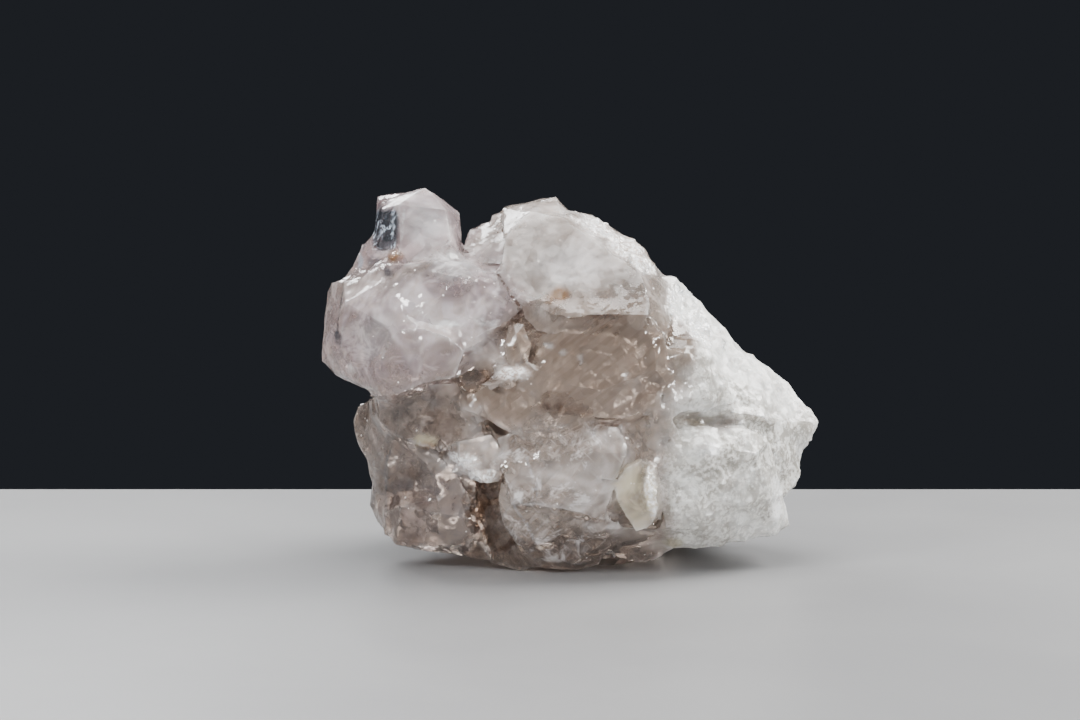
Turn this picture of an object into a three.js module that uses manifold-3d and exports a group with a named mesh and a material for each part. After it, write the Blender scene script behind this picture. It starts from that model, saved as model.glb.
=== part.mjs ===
// A smoky quartz skeletal cluster, 91 mm wide: points and blocky crystals that grew together
// from a broken milky root. Millimetres, +Z up. The front is the -Y side, the root lies to the right.

import * as THREE from "three";
import { ConvexGeometry } from "three/addons/geometries/ConvexGeometry.js";
import { mergeVertices } from "three/addons/utils/BufferGeometryUtils.js";
import Module from "manifold-3d";

const wasm = await Module();
wasm.setup();

const DEGREE = Math.PI / 180;

const SHOULDER_SHARE = 0.55; // how far back a block keeps its width, as a share of its depth
const SHOULDER_TAPER = 0.08; // how much narrower it is there
const REAR_TAPER = 0.55; // how much narrower it is at its very back

const WEB_REACH = 4; // crystals are grown together where their front rims lie this near each other
const WEB_SINK = 0.05; // how far that growth lies below the rims, as a share of the crystals' size

const RHOMB_TILT = 51.8 * DEGREE; // between the axis of a quartz point and the normal of a tip face
const MINOR_SETBACK = 0.09; // how far every other tip face stands back, as a share of the width
const PRISM_TAPER = 1.12; // root width of a point over its width below the tip

const HOPPER_RIM = 0.22; // width of the rim round a sunken face, as a share of the way to its middle
const HOPPER_WALL = 0.12; // how far the wall of the sunken part leans in, the same way
const FACE_TOLERANCE = 0.5; // corners this near a face plane belong to the face

// Real sizes that drive the whole cluster: where the eye of the front view is, how far it looks down,
// and the fineness that corners are set to. The eye's distance of 463 makes the cluster 91 wide.
const EYE = new THREE.Vector3(-5.26, -463, 85.5);
const LOOKS_DOWN = 6 * DEGREE;
const FINENESS = 0.5;

// The front view is a picture of 1080 by 720 pixels. What lies one eye's distance away, and is as
// long as that distance, covers PICTURE_REACH pixels of it.
const PICTURE_MIDDLE = { right: 540, down: 360 };
const PICTURE_REACH = 2550;

// Blocky crystals, and how far back each of them reaches. A block that shows in the front view has
// its corners under seen, each as pixels from the left, pixels from the top, and millimetres along Y.
// A hidden one has them under corners, in millimetres. All but those with webbed set to false are
// grown together with their neighbours, rim to rim.
const BLOCKS = {
  // The tallest crystal, blunt tipped, at the upper left.
  tower: {
    back: 13,
    seen: [
      [425, 187, -1], [400, 204, -7], [448, 211, -5], [383, 208, -4], [378, 196, 4], [447, 199, 5],
      [460, 213, 3], [402, 268, -9.5], [453, 268, -8.5], [373, 252, -4], [369, 264, 4], [466, 268, 3],
    ],
  },
  // The small crystal at the tower's foot.
  tower_foot: {
    back: 11,
    seen: [
      [361, 243, 1], [358, 256, -1], [357, 268, -1.5], [372, 241, 3], [392, 246, -7], [398, 262, -9.5],
      [398, 284, -10], [360, 284, -4], [372, 262, -6],
    ],
  },
  // The step from that crystal down to the stubby point.
  left_step: {
    back: 10,
    seen: [
      [345, 275, -1], [357, 268, -2], [375, 268, -8], [392, 272, -10], [395, 290, -12], [343, 288, -4],
    ],
  },
  // The stubby point at the far left.
  left_point: {
    back: 13,
    seen: [
      [333, 284, -1], [343, 280, -7], [380, 282, -12], [398, 303, -13], [328, 294, 0], [325, 318, -2],
      [321, 352, -4], [321, 362, -4], [335, 373, -5], [345, 380, -6], [362, 389, -9], [338, 346, -11],
      [372, 388, -15], [398, 389, -15], [394, 330, -16.5], [345, 303, -12],
    ],
  },
  // The frosted crystal between the tower and the top crystal.
  dome: {
    back: 10,
    seen: [
      [440, 252, -7], [478, 256, -4], [497, 271, -8], [430, 272, -14], [460, 276, -17], [488, 285, -15],
      [425, 318, -18], [470, 318, -19], [500, 318, -17], [415, 262, -7], [410, 300, -15.5],
    ],
  },
  // The lilac crystal against the stubby point.
  lilac_left: {
    back: 6,
    seen: [
      [388, 264, -8], [418, 258, -8], [414, 290, -15], [386, 300, -13.5], [442, 326, -17.8],
      [392, 342, -16.8], [430, 330, -17.6],
    ],
  },
  // The lilac crystal below it, with a sharp lower edge.
  lilac_low: {
    back: 6,
    seen: [
      [371, 393, -12], [383, 396, -16], [400, 394, -19], [425, 384, -21], [455, 377, -21],
      [463, 350, -20.5], [449, 338, -21], [425, 328, -20], [400, 330, -18], [388, 345, -17],
      [376, 370, -16],
    ],
  },
  // The glassy ridge from the lilac crystals to the middle.
  lilac_bridge: {
    back: 2,
    seen: [
      [430, 322, -17], [449, 338, -20], [480, 335, -19], [505, 330, -17], [507, 345, -15],
      [463, 352, -20], [440, 345, -18], [485, 314, -17], [460, 318, -17],
    ],
  },
  // The square-ended crystal beside the top crystal.
  lilac_square: {
    back: 0,
    seen: [
      [485, 283, -13], [502, 268, -12], [517, 299, -17], [514, 318, -18], [500, 327, -19],
      [486, 311, -18],
    ],
  },
  // The broad flat face at the top.
  top_crystal: {
    back: 15,
    seen: [
      [503, 264, -13.4], [506, 240, -10], [519, 221, -7.3], [531, 212, -6], [562, 219, -7],
      [600, 248, -11], [642, 274, -14.8], [650, 300, -18.4], [648, 318, -20.5], [563, 318, -20.5],
      [545, 302, -18.7], [520, 298, -18],
    ],
  },
  // The crystal behind the notch between the tower and the top.
  top_core: {
    back: 12,
    webbed: false,
    seen: [
      [462, 262, -3], [466, 246, 2], [505, 246, 0], [520, 262, -8], [512, 300, -14], [470, 300, -14],
      [455, 285, -10],
    ],
  },
  // The narrow facet along the foot of that face.
  ledge: {
    back: -12,
    webbed: false,
    seen: [
      [553, 304, -18.9], [575, 299, -18.7], [612, 301, -19.1], [628, 315, -21.1], [600, 316, -21.8],
      [585, 316, -21.8], [566, 319, -21.7], [556, 311, -19.8],
    ],
  },
  // The crown at the very top.
  crown: {
    back: 12,
    webbed: false,
    seen: [
      [503, 209, 0], [525, 204, 0], [545, 199, 1], [555, 200, 2], [569, 213, 1], [560, 219, -5],
      [531, 212, -6], [519, 221, -6], [506, 238, -7], [501, 220, -1],
    ],
  },
  // The bevel of the top crystal, crazed with flakes.
  flaky_band: {
    back: 15,
    seen: [
      [562, 219, -6.5], [575, 214, -2], [590, 217, 0], [600, 222, 1], [620, 235, 2], [635, 242, 2],
      [645, 250, 2], [656, 267, 0], [642, 275, -14], [600, 249, -10.5],
    ],
  },
  // The stepped block beside the top crystal.
  step_block: {
    back: 12,
    webbed: false,
    seen: [
      [465, 241, 0], [470, 229, 1], [490, 223, 2], [500, 222, 1], [505, 240, -5], [503, 264, -9],
      [480, 264, -6], [465, 247, -3],
    ],
  },
  // Its lower step.
  step_low: {
    back: 7,
    webbed: false,
    seen: [
      [478, 232, 1], [481, 224, 2], [492, 222, 3], [494, 230, 1], [492, 235, 4],
    ],
  },
  // Its upper step.
  step_high: {
    back: 8,
    webbed: false,
    seen: [
      [490, 228, 0], [493, 217, 2], [501, 214, 2], [505, 228, -2], [504, 235, 4],
    ],
  },
  // Glassy slivers between the top crystal and the milky root.
  ridge_glass: {
    back: 4,
    seen: [
      [641, 274, -13], [652, 270, -5], [664, 290, -8], [672, 322, -14], [667, 335, -17.5],
      [650, 320, -19], [645, 296, -17],
    ],
  },
  // The milky root: its upper slope.
  milky_ridge: {
    back: 15,
    seen: [
      [655, 268, 1], [672, 278, 1], [686, 286, 2], [697, 305, 2], [707, 318, 2], [718, 333, 2],
      [730, 342, 2], [745, 356, 2], [645, 285, -12], [660, 338, -16], [670, 412, -18], [690, 410, -17.5],
      [733, 404, -13.5], [722, 350, -5], [700, 385, -16],
    ],
  },
  // The wing that ends at the far right.
  milky_wing: {
    back: 14,
    seen: [
      [738, 349, 1], [748, 357, 3], [765, 367, 3.5], [780, 377, 4], [790, 387, 4], [800, 397, 4],
      [812, 413, 4], [817, 421, 3], [810, 439, 1], [800, 443, -1], [722, 352, -5], [733, 412, -13.5],
      [760, 416, -11], [782, 424, -6], [700, 400, -14],
    ],
  },
  // The block below the wing, with one broad face.
  milky_low: {
    back: 14,
    seen: [
      [668, 430, -18.2], [700, 425, -17.4], [742, 429, -14.6], [768, 440, -11.6], [783, 494, -8],
      [783, 505, -7.5], [786, 522, -5], [775, 533, -7.5], [740, 541, -12], [700, 547, -14],
      [668, 551, -16], [664, 445, -20.2], [706, 446, -20], [756, 452, -16.6], [772, 500, -13],
      [715, 500, -20], [662, 500, -21.2], [668, 530, -20.4], [712, 529, -18.2], [766, 517, -12],
    ],
  },
  // The raised granular face on the milky root.
  milky_face: {
    back: 5,
    seen: [
      [671, 352, -17.8], [688, 336, -15.2], [702, 342, -14.6], [722, 374, -13.4], [723, 398, -14.6],
      [708, 410, -16.6], [669, 406, -19.4], [666, 380, -19.2], [684, 352, -18], [712, 378, -16.6],
      [708, 398, -17.6], [676, 398, -20],
    ],
  },
  // The cheek under the wing's tip.
  milky_cheek: {
    back: 12,
    seen: [
      [781, 437, -5], [800, 441, 0], [803, 450, 1], [799, 470, 1], [795, 485, 2], [786, 492, 1],
      [776, 470, -8], [775, 450, -8], [760, 450, 0],
    ],
  },
  // The broad smoky crystal in the middle: a tilted face inside uneven bevels.
  window: {
    back: 0,
    seen: [
      [536, 344, -18.2], [545, 331, -18], [566, 319, -18.6], [600, 317, -18.8], [640, 316, -18.6],
      [664, 333, -18.8], [669, 352, -19], [666, 384, -20.4], [655, 404, -21.2], [625, 417, -21.6],
      [596, 417, -21.8], [560, 404, -21.2], [541, 387, -20.4], [533, 367, -19.6], [545, 348, -20.4],
      [567, 328, -19.4], [637, 325, -19.2], [652, 341, -20.1], [655, 368, -21.5], [603, 391, -22.8],
      [563, 385, -22.4], [546, 372, -21.6],
    ],
  },
  // The facet between the ledge and the drop.
  round_facet: {
    back: -8,
    webbed: false,
    seen: [
      [521, 303, -17.6], [545, 301, -18.9], [562, 318, -19.8], [556, 333, -19.4], [536, 331, -18.7],
      [523, 317, -18],
    ],
  },
  // The drop-shaped crystal left of the smoky face.
  drop: {
    back: -6,
    webbed: false,
    seen: [
      [506, 328, -17.4], [512, 320, -17.4], [525, 324, -17.9], [531, 345, -19.3], [528, 362, -20.1],
      [519, 371, -20.3], [509, 364, -19.9], [505, 346, -18.8], [516, 335, -19.4], [520, 357, -21],
    ],
  },
  // The brown hollow in the middle.
  brown_heart: {
    back: 2,
    webbed: false,
    seen: [
      [455, 378, -15], [462, 346, -14], [510, 335, -12.5], [531, 368, -13], [500, 377, -16],
      [465, 397, -16], [460, 402, -13],
    ],
  },
  // The sparkling crest below the hollow.
  crest: {
    back: -5,
    seen: [
      [467, 398, -16.5], [478, 390, -18.6], [500, 376, -20.6], [520, 370, -21], [534, 377, -21],
      [584, 414, -21.8], [590, 432, -20.5], [562, 426, -22.8], [512, 436, -21.8], [488, 420, -19.6],
      [540, 404, -22.8],
    ],
  },
  // The floor under the smoky face.
  heart_floor: {
    back: 0,
    webbed: false,
    seen: [
      [540, 385, -19], [580, 410, -21.5], [655, 405, -20], [640, 425, -20], [590, 440, -19],
      [625, 440, -19],
    ],
  },
  // The shelf that the lilac crystals stand on.
  left_shelf: {
    back: 8,
    seen: [
      [371, 398, -9], [400, 395, -15], [425, 386, -16], [455, 384, -16.5], [466, 400, -16],
      [480, 425, -17], [470, 445, -16.5], [440, 452, -17], [395, 437, -14], [380, 420, -11],
      [372, 400, 0],
    ],
  },
  // The lobe at its left end.
  left_lobe: {
    back: 10,
    seen: [
      [356, 404, 0], [352, 419, -1], [357, 441, -2], [366, 456, -3], [380, 467, -5], [400, 440, -12],
      [392, 405, -11], [371, 399, -5],
    ],
  },
  // The body between the shelf and the tower.
  left_root: {
    back: 12,
    webbed: false,
    seen: [
      [374, 380, -6], [455, 380, -14], [374, 404, -4], [455, 410, -14], [470, 300, -12], [400, 300, -10],
    ],
  },
  // The lower left block, with one flat face.
  left_block: {
    back: 10,
    seen: [
      [385, 468, -5], [392, 436, -12], [410, 436, -14.5], [455, 470, -16], [469, 495, -16],
      [461, 516, -15.5], [381, 519, -5], [386, 535, -5], [400, 545, -6.5], [432, 547, -9],
      [462, 551, -11], [490, 561, -12], [480, 520, -13],
    ],
  },
  // The step below that face.
  left_band: {
    back: 0,
    seen: [
      [384, 512, -7], [400, 505, -12.5], [461, 514, -16.6], [478, 523, -15.5], [470, 545, -13.5],
      [430, 546, -11.5], [398, 543, -9.5], [386, 534, -7],
    ],
  },
  // The tab at the lower left edge.
  left_tab: {
    back: 7,
    seen: [
      [380, 477, -1], [373, 486, 0], [371, 505, 0], [378, 517, -2], [390, 519, -5], [396, 478, -6],
      [385, 460, -3],
    ],
  },
  // The recessed smoky floor.
  dark_floor: {
    back: 6,
    webbed: false,
    seen: [
      [465, 465, -12], [505, 478, -13], [506, 530, -13], [540, 566, -12.5], [520, 571, -11.5],
      [490, 561, -11], [462, 515, -13],
    ],
  },
  // The silvery broken edge.
  bright_shard: {
    back: -6,
    webbed: false,
    seen: [
      [449, 449, -17], [458, 441, -19], [490, 434, -18], [506, 462, -19], [498, 482, -20],
      [488, 482, -21], [474, 474, -21], [460, 462, -20],
    ],
  },
  // The block full of white veils.
  veil_block: {
    back: -5,
    seen: [
      [500, 440, -17], [530, 425, -19], [562, 424, -20.5], [598, 440, -21], [616, 480, -22.3],
      [604, 520, -22.8], [562, 507, -24.4], [520, 505, -23.2], [506, 482, -21.5], [500, 460, -19],
      [545, 462, -23.4], [585, 470, -23.2],
    ],
  },
  // The chunk the cluster leans on in front.
  front_chunk: {
    back: 6,
    seen: [
      [502, 484, -18.5], [500, 495, -18.8], [503, 520, -19.4], [520, 545, -18.6], [545, 568, -14.8],
      [575, 569, -13.4], [600, 566, -13.4], [608, 548, -17.8], [612, 522, -21.6], [592, 503, -23.4],
      [548, 503, -24], [516, 498, -22.6], [525, 560, -12.6], [560, 535, -21.6],
    ],
  },
  // The small six-sided facet.
  hex_facet: {
    back: -10,
    webbed: false,
    seen: [
      [583, 442, -20.6], [600, 427, -21.2], [617, 430, -21.7], [625, 448, -22.6], [618, 470, -23.4],
      [612, 481, -23.4], [600, 478, -23.6], [588, 466, -22.8],
    ],
  },
  // The column beside it.
  column: {
    back: -5,
    seen: [
      [625, 430, -19], [650, 425, -19.5], [655, 432, -20], [660, 470, -21], [640, 470, -21],
      [620, 475, -21],
    ],
  },
  // The yellowish plate with a bright bevel.
  plate: {
    back: -10,
    webbed: false,
    seen: [
      [616, 481, -22.5], [626, 470, -22.5], [642, 463, -23.5], [657, 466, -22], [664, 494, -21.5],
      [661, 518, -21], [652, 492, -24.5], [655, 518, -23.5], [648, 528, -23], [635, 533, -22.5],
      [615, 497, -22.5],
    ],
  },
  // The round lobe above the column.
  round_lobe: {
    back: -10,
    seen: [
      [651, 411, -20], [662, 402, -20], [672, 411, -20], [669, 428, -20.5], [656, 431, -21],
      [651, 422, -21],
    ],
  },
  // The foot below the plate.
  foot_right: {
    back: 8,
    seen: [
      [604, 545, -18], [618, 560, -14], [645, 561, -13.5], [661, 557, -13.5], [669, 547, -14],
      [657, 528, -20], [625, 528, -21], [600, 530, -20.5],
    ],
  },
  // The mass under the crystals on the left.
  ground_left: {
    back: 8,
    webbed: false,
    seen: [
      [348, 288, -9.5], [378, 264, -8.5], [400, 264, -10.8], [430, 262, -12.5], [475, 264, -12.2],
      [498, 284, -14], [512, 330, -17], [503, 350, -17], [455, 378, -18.8], [405, 390, -16.5],
      [372, 388, -12], [340, 368, -7.5], [332, 300, -6], [395, 310, -14.8], [412, 296, -15],
      [440, 322, -17.3], [478, 322, -17.3], [460, 285, -15.6], [400, 345, -16.2],
    ],
  },
  // The mass under the crystals in the middle.
  ground_middle: {
    back: 0,
    webbed: false,
    seen: [
      [463, 352, -17.5], [505, 324, -16.3], [523, 316, -16.6], [548, 330, -18], [540, 365, -18.6],
      [545, 390, -19.6], [520, 374, -19], [490, 385, -18.4], [462, 400, -14.8], [500, 350, -17.2],
    ],
  },
  // The mass under the crystals at the lower left.
  ground_low_left: {
    back: 8,
    webbed: false,
    seen: [
      [366, 404, -4], [372, 398, -8], [400, 398, -14.2], [456, 396, -15.8], [482, 425, -16.6],
      [480, 455, -16.4], [466, 495, -15.2], [472, 535, -12.6], [440, 543, -10], [398, 538, -6.6],
      [383, 520, -4.5], [372, 460, -3.5], [362, 440, -3], [400, 440, -12.8], [455, 468, -15.6],
    ],
  },
  // The mass under the crystals at the lower right.
  ground_low_right: {
    back: 0,
    webbed: false,
    seen: [
      [592, 425, -20], [655, 404, -20], [672, 420, -18.2], [668, 545, -16], [640, 552, -14.8],
      [608, 548, -17], [603, 500, -22], [615, 475, -21.4], [590, 447, -20.6], [655, 505, -20],
    ],
  },
  // The mass under the milky wing.
  ground_right: {
    back: 5,
    webbed: false,
    seen: [
      [662, 400, -18.4], [672, 412, -17.2], [700, 410, -15.2], [740, 410, -12.2], [772, 425, -7.5],
      [797, 440, -2.5], [798, 478, -1.5], [788, 490, -2.5], [778, 498, -6], [740, 446, -11.5],
      [700, 440, -15.2], [668, 444, -16.6],
    ],
  },
  // The mass behind the smoky crystals.
  middle: {
    webbed: false,
    corners: [
      [-11, -13, 29], [-11, -14, 43], [8, -15.5, 43], [8, -16.5, 29], [-11, 0, 28], [-11, 0, 44],
      [10, 0, 44], [10, 0, 28],
    ],
  },
  // The mass that the crystals share.
  core: {
    webbed: false,
    corners: [
      [-26, -8, 10], [-28, -6, 34], [-22, -4, 50], [0, -6, 56], [12, -7, 51], [19, -10, 30],
      [14, -14, 6], [-6, -10, 2], [-24, 12, 6], [-26, 14, 32], [-16, 16, 50], [2, 18, 54], [16, 20, 46],
      [22, 20, 24], [18, 18, 4], [-8, 20, 4],
    ],
  },
  // The broken foot it rests on, behind the front chunk: its left half.
  foot_left: {
    webbed: false,
    corners: [
      [-12, -2, -1], [-5, -6, -1], [4, -4, -1], [4, 24, -1], [-3, 28, -1], [-12, 25, -1], [-15, 12, -1],
      [-24, 2, 10], [-22, 22, 12], [-6, 31, 9], [6, 26, 10], [6, -6, 10], [-8, -10, 9],
    ],
  },
  // The foot's right half.
  foot_right_back: {
    webbed: false,
    corners: [
      [0, -5, -1], [7, -6, -1], [15, 1, -1], [18, 12, -1], [13, 24, -1], [4, 26, -1], [0, -8, 10],
      [20, -8, 11], [28, 8, 11], [25, 22, 10], [12, 29, 9], [0, 26, 10],
    ],
  },
  // The root's back, broken into large faces.
  root_back: {
    webbed: false,
    corners: [
      [20, 2, 8], [35, 4, 9], [41, 6, 18], [40, 11, 27], [31, 15, 35], [21, 18, 42], [13, 17, 48],
      [12, 24, 40], [20, 25, 33], [27, 24, 29], [23, 26, 20], [14, 24, 18], [33, 19, 14], [31, 16, 5],
      [20, 22, 4], [23, 4, 4],
    ],
  },
  // A slab on its right side.
  root_side: {
    webbed: false,
    corners: [
      [34, -8, 12], [40, -4, 14], [43, 2, 20], [42, 6, 27], [36, 12, 33], [30, 16, 20], [32, 12, 8],
      [38, 4, 9], [28, 0, 30],
    ],
  },
  // A knob at the back of the root.
  root_knob: {
    webbed: false,
    corners: [
      [20, 14, 6], [30, 16, 3.5], [37, 13, 9], [38.5, 12, 19], [34, 18, 23], [28, 24, 19], [23, 26, 9],
      [31, 21, 6], [20, 20, 16],
    ],
  },
};

// Six-sided points: where the tip is, the way it points, width across flats, length, and the turn
// about its axis. A point with a hopper has every other tip face sunk by that much.
const POINTS = {
  back_upper_left: { tip: [-31, 19, 52], toward: [-0.5, 0.6, 0.5], width: 16, length: 26, turn: 12 },
  back_left: { tip: [-37, 18, 27], toward: [-0.75, 0.6, 0.05], width: 15, length: 28, turn: 40 },
  back_far_left: { tip: [-38, 14, 40], toward: [-0.85, 0.45, 0.2], width: 13, length: 26, turn: 25 },
  back_low_far_left: { tip: [-34, 13, 14], toward: [-0.85, 0.5, -0.1], width: 13, length: 24, turn: 5 },
  back_high: { tip: [-14, 31, 47], toward: [-0.25, 0.8, 0.5], width: 18, length: 30, turn: 5, hopper: 1.4 },
  back_middle: { tip: [4, 34, 32], toward: [0.15, 0.97, 0.25], width: 21, length: 34, turn: 22, hopper: 1.6 },
  back_low_left: { tip: [-20, 31, 16], toward: [-0.45, 0.88, -0.05], width: 17, length: 32, turn: 50 },
  back_top: { tip: [-4, 19, 60], toward: [-0.1, 0.5, 0.85], width: 13, length: 24, turn: 30 },
  back_shoulder: { tip: [15, 27, 47], toward: [0.35, 0.7, 0.62], width: 15, length: 28, turn: 15 },
  back_foot: { tip: [-3, 32, 12], toward: [-0.05, 0.97, -0.1], width: 13, length: 30, turn: 8 },
  back_right: { tip: [20, 31, 20], toward: [0.45, 0.88, 0.1], width: 16, length: 32, turn: 33 },
  back_small_left: { tip: [-27, 25, 38], toward: [-0.6, 0.75, 0.2], width: 10, length: 24, turn: 20 },
  back_small_high: { tip: [0, 29, 51], toward: [0.05, 0.7, 0.7], width: 9, length: 24, turn: 45 },
  back_small_low: { tip: [9, 30, 14], toward: [0.3, 0.9, -0.1], width: 9, length: 24, turn: 0 },
};

// Shell-shaped breaks: a spot on the surface, the way it faces, width and height there, depth, and
// the turn of the width about the facing.
const BREAKS = {
  root_back_high: { at: [27, 22, 34], facing: [0.55, 0.8, 0.35], size: [16, 24], depth: 1.6, turn: 15 },
  sole_middle: { at: [3, 8, 0], facing: [0, 0, -1], size: [15, 16], depth: 1, turn: 20 },
  sole_left: { at: [-15, 6, 0.5], facing: [-0.2, -0.1, -1], size: [15, 24], depth: 1.4, turn: -15 },
  sole_right: { at: [17, 17, 0.5], facing: [0.2, 0, -1], size: [14, 24], depth: 1.4, turn: 30 },
};
const DISH_REACH = 1.5; // width of the ellipsoid that makes a break over the width of the break

// The sunken window in the tower's left face: its outline just proud of the face, and its floor.
const WINDOW_RIM = [[-34, -4.7, 64.2], [-31.1, -7.5, 64.7], [-31.5, -8.7, 57], [-35.7, -4.6, 57.2]];
const WINDOW_FLOOR = [[-33, -4, 63.9], [-30.6, -6.3, 64.3], [-30.8, -7.3, 57.3], [-34.4, -3.8, 57.5]];

// Seams crowded with thin flakes: from where to where in the front view, the way they face, how
// many flakes, and how far they scatter.
const SEAMS = {
  band_high: {
    from: [572, 222, -4.5],
    to: [628, 266, -11],
    facing: [0.45, -0.75, 0.75],
    count: 9,
    scatter: 3,
  },
  band_low: {
    from: [584, 222, -1],
    to: [640, 257, -3],
    facing: [0.5, -0.45, 0.85],
    count: 9,
    scatter: 3,
  },
  ridge: {
    from: [664, 287, -5],
    to: [720, 350, -4.5],
    facing: [0.6, -0.6, 0.65],
    count: 12,
    scatter: 5,
  },
  crest: {
    from: [497, 378, -20.6],
    to: [524, 372, -21.2],
    facing: [0, -0.7, 0.7],
    count: 6,
    scatter: 2,
  },
  edge: {
    from: [455, 453, -17.2],
    to: [490, 476, -19.6],
    facing: [-0.2, -1, 0.1],
    count: 5,
    scatter: 2,
  },
};
const FLAKE = { length: 2.9, width: 1.9, thickness: 0.4, askew: 0.4 };

const SMOKY_QUARTZ = new THREE.MeshStandardMaterial({ color: 0xcdc4c0, roughness: 0.25, metalness: 0 });

let state = 7;
function random() {
  state = (state * 16807) % 2147483647;
  return state / 2147483647;
}

function vector(numbers) {
  return new THREE.Vector3(...numbers);
}

// The real place of a corner that the front view shows at a pixel, at a depth along Y.
function placeOf([right, down, depth]) {
  const across = (right - PICTURE_MIDDLE.right) / PICTURE_REACH;
  const upward = (PICTURE_MIDDLE.down - down) / PICTURE_REACH;
  const ray = new THREE.Vector3(across, 1, upward).applyAxisAngle(new THREE.Vector3(1, 0, 0), -LOOKS_DOWN);
  const place = EYE.clone().addScaledVector(ray, (depth - EYE.y) / ray.y);
  return place.divideScalar(FINENESS).round().multiplyScalar(FINENESS);
}

function cornersOf({ seen = [], corners = [] }) {
  return [...seen.map(placeOf), ...corners.map(vector)];
}

function solidOf(geometry) {
  const bare = geometry.clone();
  bare.deleteAttribute("normal");
  bare.deleteAttribute("uv");
  const merged = mergeVertices(bare, 1e-4);
  const mesh = new wasm.Mesh({
    numProp: 3,
    vertProperties: merged.attributes.position.array,
    triVerts: new Uint32Array(merged.index.array),
  });
  return new wasm.Manifold(mesh);
}

function middleOf(corners) {
  return corners.reduce((sum, corner) => sum.add(corner), new THREE.Vector3()).divideScalar(corners.length);
}

function hull(corners) {
  return solidOf(new ConvexGeometry(corners));
}

function block(form) {
  const { back } = form;
  const front = cornersOf(form);
  if (back === undefined) return hull(front);
  const middle = middleOf(front);
  const drawnBack = (share, taper) =>
    front.map((corner) => {
      const depth = share * Math.max(back - corner.y, 0);
      return corner.clone().lerp(middle, taper).setY(corner.y + depth);
    });
  return hull([...front, ...drawnBack(SHOULDER_SHARE, SHOULDER_TAPER), ...drawnBack(1, REAR_TAPER)]);
}

// A block's front corners and the spots halfway between them, sunk a little into it.
function rimOf(form) {
  const rim = cornersOf(form);
  const middle = middleOf(rim);
  const between = (corner, other) => corner.clone().lerp(other, 0.5);
  const halfway = rim.flatMap((corner, i) => rim.slice(i + 1).map((other) => between(corner, other)));
  return [...rim, ...halfway].map((corner) => corner.lerp(middle, WEB_SINK));
}

// The crystal that closes the cleft between two neighbours, from rim to rim.
function web(one, other) {
  const near = (from, to) => from.filter((corner) => to.some((far) => corner.distanceTo(far) < WEB_REACH));
  const rims = [rimOf(one), rimOf(other)];
  const sides = [near(rims[0], rims[1]), near(rims[1], rims[0])];
  if (sides.some((side) => side.length < 3)) return [];
  return [hull(sides.flat())];
}

// Keeps the side of the plane that its normal points away from.
function cut(solid, normal, through) {
  const inward = normal.clone().negate();
  return solid.trimByPlane(inward.toArray(), inward.dot(through));
}

// Sinks the flat face that looks along the normal, leaving a rim, as skeletal quartz grows.
function hopper(solid, normal, depth) {
  const { vertProperties: xyz } = solid.getMesh();
  const corners = [];
  for (let i = 0; i < xyz.length; i += 3) {
    corners.push(new THREE.Vector3(xyz[i], xyz[i + 1], xyz[i + 2]));
  }
  const reach = Math.max(...corners.map((corner) => corner.dot(normal)));
  const face = corners.filter((corner) => reach - corner.dot(normal) < FACE_TOLERANCE);
  const middle = middleOf(face);
  const ring = (share, lift) =>
    face.map((corner) => corner.clone().lerp(middle, share).addScaledVector(normal, lift));
  return solid.subtract(hull([...ring(HOPPER_RIM, 1), ...ring(HOPPER_RIM + HOPPER_WALL, -depth)]));
}

function point({ tip, toward, width, length, turn, hopper: depth = 0 }) {
  const apex = vector(tip);
  const axis = vector(toward).normalize();
  const aim = new THREE.Quaternion().setFromUnitVectors(new THREE.Vector3(0, 1, 0), axis);
  const radius = width / Math.sqrt(3);
  const prism = new THREE.CylinderGeometry(radius, radius * PRISM_TAPER, length, 6);
  prism.translate(0, -length / 2, 0).rotateY(turn * DEGREE).applyQuaternion(aim).translate(...tip);
  const normals = [0, 1, 2, 3, 4, 5].map((face) =>
    new THREE.Vector3()
      .setFromSphericalCoords(1, RHOMB_TILT, (turn + 30 + 60 * face) * DEGREE)
      .applyQuaternion(aim),
  );
  let solid = solidOf(prism);
  normals.forEach((normal, face) => {
    const setback = face % 2 ? width * MINOR_SETBACK : 0;
    solid = cut(solid, normal, apex.clone().addScaledVector(normal, setback));
  });
  if (depth === 0) return solid;
  return [normals[0], normals[2], normals[4]].reduce((sunk, normal) => hopper(sunk, normal, depth), solid);
}

function shellBreak({ at, facing, size: [width, height], depth, turn }) {
  const outward = vector(facing).normalize();
  const sunk = Math.sqrt(1 - 1 / DISH_REACH ** 2);
  const reach = depth / (1 - sunk);
  const aim = new THREE.Quaternion().setFromUnitVectors(new THREE.Vector3(0, -1, 0), outward);
  const ball = new THREE.IcosahedronGeometry(1, 3);
  ball.scale((width / 2) * DISH_REACH, reach, (height / 2) * DISH_REACH).rotateY(turn * DEGREE);
  ball.applyQuaternion(aim).translate(...vector(at).addScaledVector(outward, sunk * reach));
  return solidOf(ball);
}

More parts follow.
